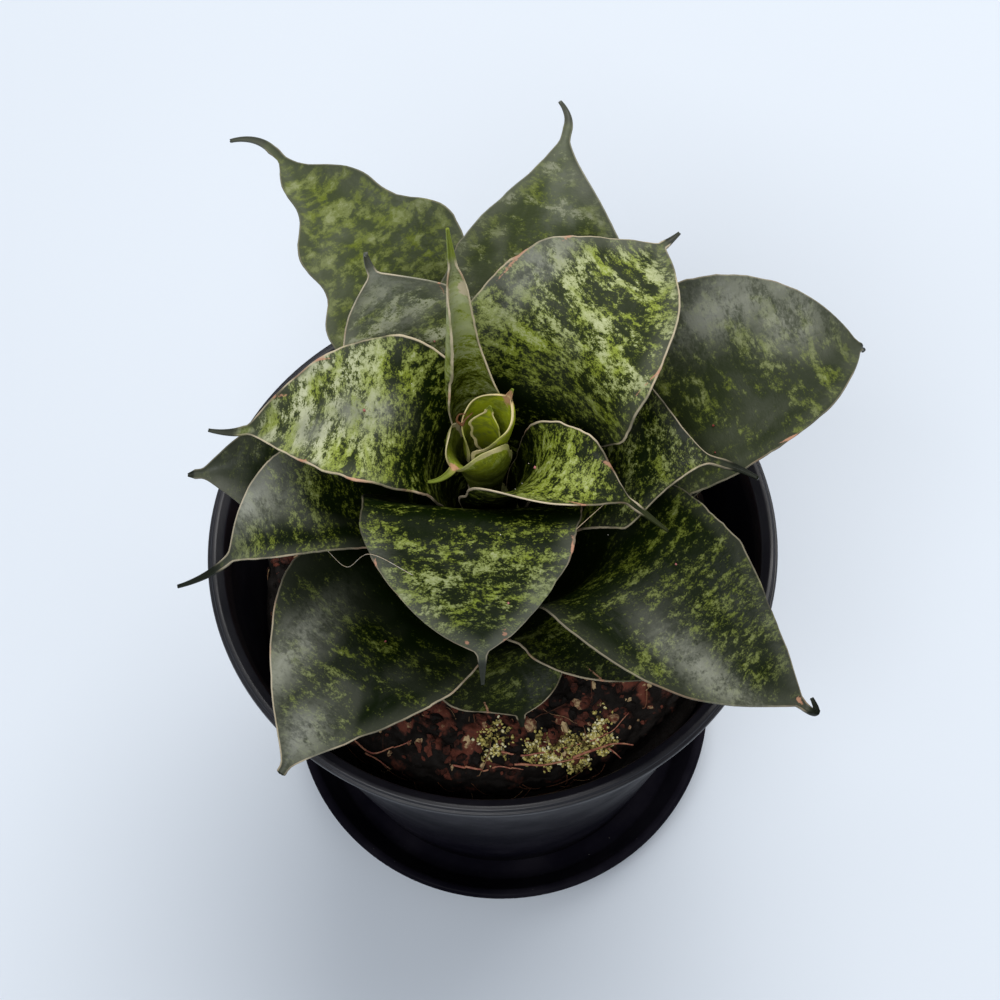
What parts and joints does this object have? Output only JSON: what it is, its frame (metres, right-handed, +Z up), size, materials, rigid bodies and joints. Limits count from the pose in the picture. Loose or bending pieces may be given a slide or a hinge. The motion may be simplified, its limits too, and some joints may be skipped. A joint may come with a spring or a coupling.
{
  "type": "potted snake plant",
  "caption": "Bird-nest snake plant: a rosette of broad, cupped, mottled leaves in a round black plastic pot on a shallow saucer.",
  "frame": {"origin": "centre of the saucer foot, on the surface that it stands on", "axes": "+Z up along the axis of the pot; -Y towards the front, the side that the small leaf over the soil points to; +X to the right seen from the front"},
  "size_m": [0.1765, 0.1702, 0.2528],
  "materials": {
    "saucer_plastic": "satin black",
    "pot_plastic": "semi-gloss black",
    "soil": "rough coir and bark",
    "stem": "matte",
    "leaf_dark": "waxy",
    "leaf_mid": "waxy",
    "leaf_young": "waxy"
  },
  "bodies": {
    "root": {"saucer": "saucer_plastic", "pot": "pot_plastic", "soil": "soil", "stem": "stem", "leaf_front_low": "leaf_dark", "leaf_right_low": "leaf_dark", "leaf_left_far": "leaf_dark", "leaf_front_right_low": "leaf_dark", "leaf_back_left": "leaf_dark", "leaf_right": "leaf_dark", "leaf_front_left": "leaf_dark", "leaf_back": "leaf_dark", "leaf_front_right": "leaf_dark", "leaf_left_low": "leaf_dark", "leaf_left_back": "leaf_dark", "leaf_right_mid": "leaf_dark", "leaf_front": "leaf_mid", "leaf_back_right": "leaf_mid", "leaf_left": "leaf_mid", "leaf_right_small": "leaf_mid", "leaf_upright": "leaf_mid", "bud_outer": "leaf_young", "bud_inner": "leaf_young", "bud_heart": "leaf_young"}
  },
  "joints": []
}
